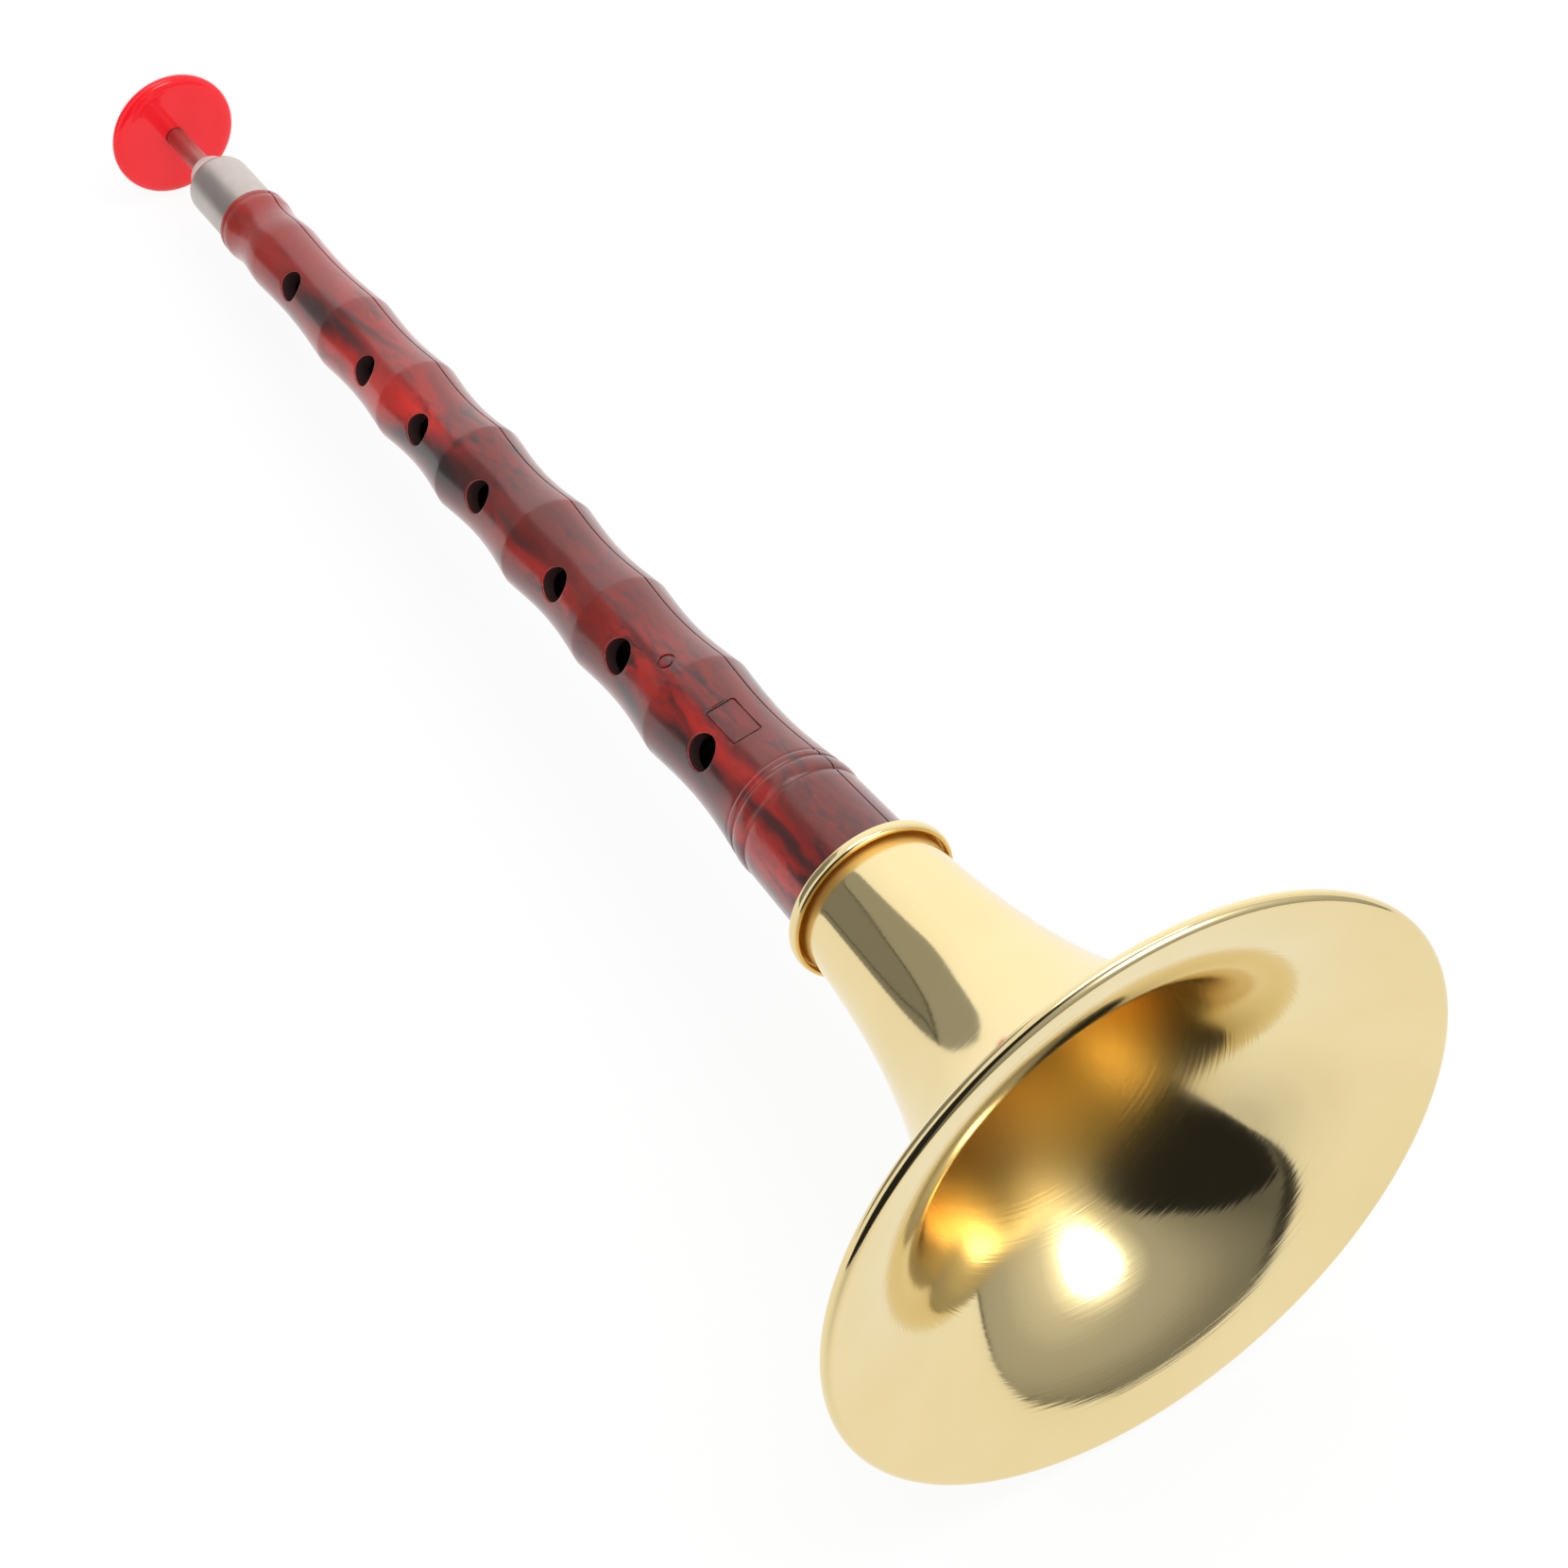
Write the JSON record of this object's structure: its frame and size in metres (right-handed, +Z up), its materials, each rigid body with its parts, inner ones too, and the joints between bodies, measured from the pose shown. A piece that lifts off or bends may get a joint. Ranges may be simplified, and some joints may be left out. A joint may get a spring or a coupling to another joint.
{
  "type": "suona",
  "caption": "Small suona lying on its rim: ridged conical pipe with finger holes, flared brass bell that pulls off, metal ferrule, sliding staple, turning lip disc and pull-off reed.",
  "frame": {"origin": "centre of the bounding box at its bottom, on the surface that the suona lies on", "axes": "+Z up; +X toward the bell, along the instrument as it lies on its bell rim and lip disc; the finger holes look toward -Y and up"},
  "size_m": [0.3828, 0.1196, 0.1188],
  "materials": {
    "marbled_plastic": "glossy, dark red marbled with near black streaks",
    "polished_brass": "polished, with fine lines round the axis inside the flare",
    "satin_nickel": "satin",
    "copper": "satin",
    "white_plastic": "satin",
    "red_plastic": "glossy",
    "cork": "raw",
    "cane": "raw"
  },
  "bodies": {
    "pipe": {"pipe_front_half": "marbled_plastic", "pipe_rear_half": "marbled_plastic", "foot_cork": "cork", "ferrule": "satin_nickel"},
    "bell": {"bell_shell": "polished_brass", "bell_rim_wire": "polished_brass"},
    "staple": {"staple_tube": "copper", "staple_wrap": "cork", "staple_plug": "white_plastic"},
    "disc": {"lip_disc": "red_plastic"},
    "reed": {"reed_blade": "cane", "reed_binding": "copper"}
  },
  "joints": [
    {"name": "bell_slide", "type": "slide", "parent": "pipe", "child": "bell", "axis": [0.992, 0, 0.1264], "range_m": [0, 0.03]},
    {"name": "staple_slide", "type": "slide", "parent": "pipe", "child": "staple", "axis": [-0.992, 0, -0.1264], "range_m": [0, 0.012]},
    {"name": "disc_turn", "type": "hinge", "parent": "staple", "child": "disc", "pos_m": [-0.17467, 0, 0.01392], "axis": [-0.992, 0, -0.1264], "continuous": true},
    {"name": "reed_slide", "type": "slide", "parent": "staple", "child": "reed", "axis": [-0.992, 0, -0.1264], "range_m": [0, 0.006]}
  ]
}
